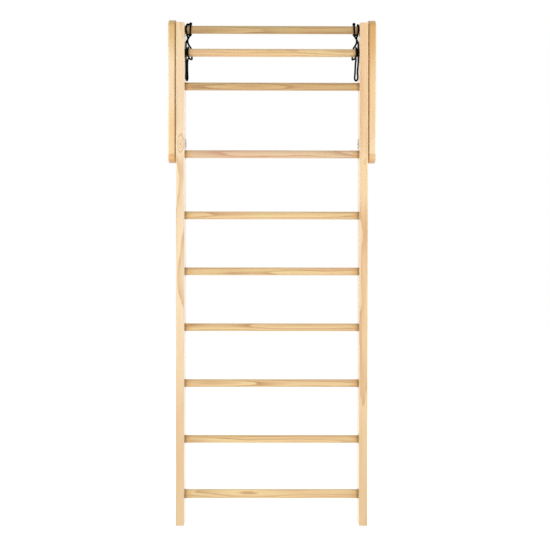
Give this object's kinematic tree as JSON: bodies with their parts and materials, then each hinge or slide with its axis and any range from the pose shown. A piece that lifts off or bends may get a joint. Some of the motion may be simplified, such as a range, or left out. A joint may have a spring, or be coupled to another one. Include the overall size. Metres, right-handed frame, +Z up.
{
  "type": "wall bars",
  "caption": "Wooden wall bars: two stiles, round rungs, a flat bottom rail, two side arms that swing down to the front and a black cord sling in each top corner.",
  "frame": {"origin": "on the floor, in the middle of the ladder's width and depth", "axes": "+Z up, -Y towards the user, +Y towards the wall, +X towards the user's right"},
  "size_m": [0.9512, 0.1, 2.319],
  "materials": {
    "pine_stile": "clear satin varnish",
    "pine_rung": "clear satin varnish",
    "pine_arm": "clear satin varnish",
    "zinc_steel": "zinc plated",
    "black_steel": "black oxide",
    "brass": "plain",
    "nylon": "natural nylon",
    "black_cord": "braided polyester"
  },
  "bodies": {
    "frame": {"stile_left": "pine_stile", "stile_right": "pine_stile", "rung_1": "pine_rung", "rung_2": "pine_rung", "rung_3": "pine_rung", "rung_4": "pine_rung", "rung_5": "pine_rung", "rung_6": "pine_rung", "rung_7": "pine_rung", "rung_8": "pine_rung", "rung_9": "pine_rung", "bottom_rail": "pine_rung", "screw_rung_1_left": "zinc_steel", "screw_rung_2_left": "zinc_steel", "screw_rung_3_left": "zinc_steel", "screw_rung_5_left": "zinc_steel", "screw_rung_6_left": "zinc_steel", "screw_rung_7_left": "zinc_steel", "screw_rung_8_left": "zinc_steel", "screw_rung_9_left": "zinc_steel", "screw_rail_left": "zinc_steel", "rung_insert_left": "brass", "spacer_washer_left": "nylon", "head_washer_left": "black_steel", "pivot_bolt_left": "black_steel", "stop_pin_left": "zinc_steel", "wall_hanger_left": "zinc_steel", "hanger_screw_front_left": "zinc_steel", "hanger_screw_rear_left": "zinc_steel", "sling_left": "black_cord", "sling_knot_left": "black_cord", "screw_rung_1_right": "zinc_steel", "screw_rung_2_right": "zinc_steel", "screw_rung_3_right": "zinc_steel", "screw_rung_5_right": "zinc_steel", "screw_rung_6_right": "zinc_steel", "screw_rung_7_right": "zinc_steel", "screw_rung_8_right": "zinc_steel", "screw_rung_9_right": "zinc_steel", "screw_rail_right": "zinc_steel", "rung_insert_right": "brass", "spacer_washer_right": "nylon", "head_washer_right": "black_steel", "pivot_bolt_right": "black_steel", "stop_pin_right": "zinc_steel", "wall_hanger_right": "zinc_steel", "hanger_screw_front_right": "zinc_steel", "hanger_screw_rear_right": "zinc_steel", "sling_right": "black_cord", "sling_knot_right": "black_cord"},
    "arm_left": {"arm_left": "pine_arm", "arm_bush_left": "brass"},
    "arm_right": {"arm_right": "pine_arm", "arm_bush_right": "brass"}
  },
  "joints": [
    {"name": "arm_swing_left", "type": "hinge", "parent": "frame", "child": "arm_left", "pos_m": [-0.4576, 0, 1.704], "axis": [1, 0, 0], "range_deg": [0, 90]},
    {"name": "arm_swing_right", "type": "hinge", "parent": "frame", "child": "arm_right", "pos_m": [0.4576, 0, 1.704], "axis": [1, 0, 0], "range_deg": [0, 90]}
  ]
}
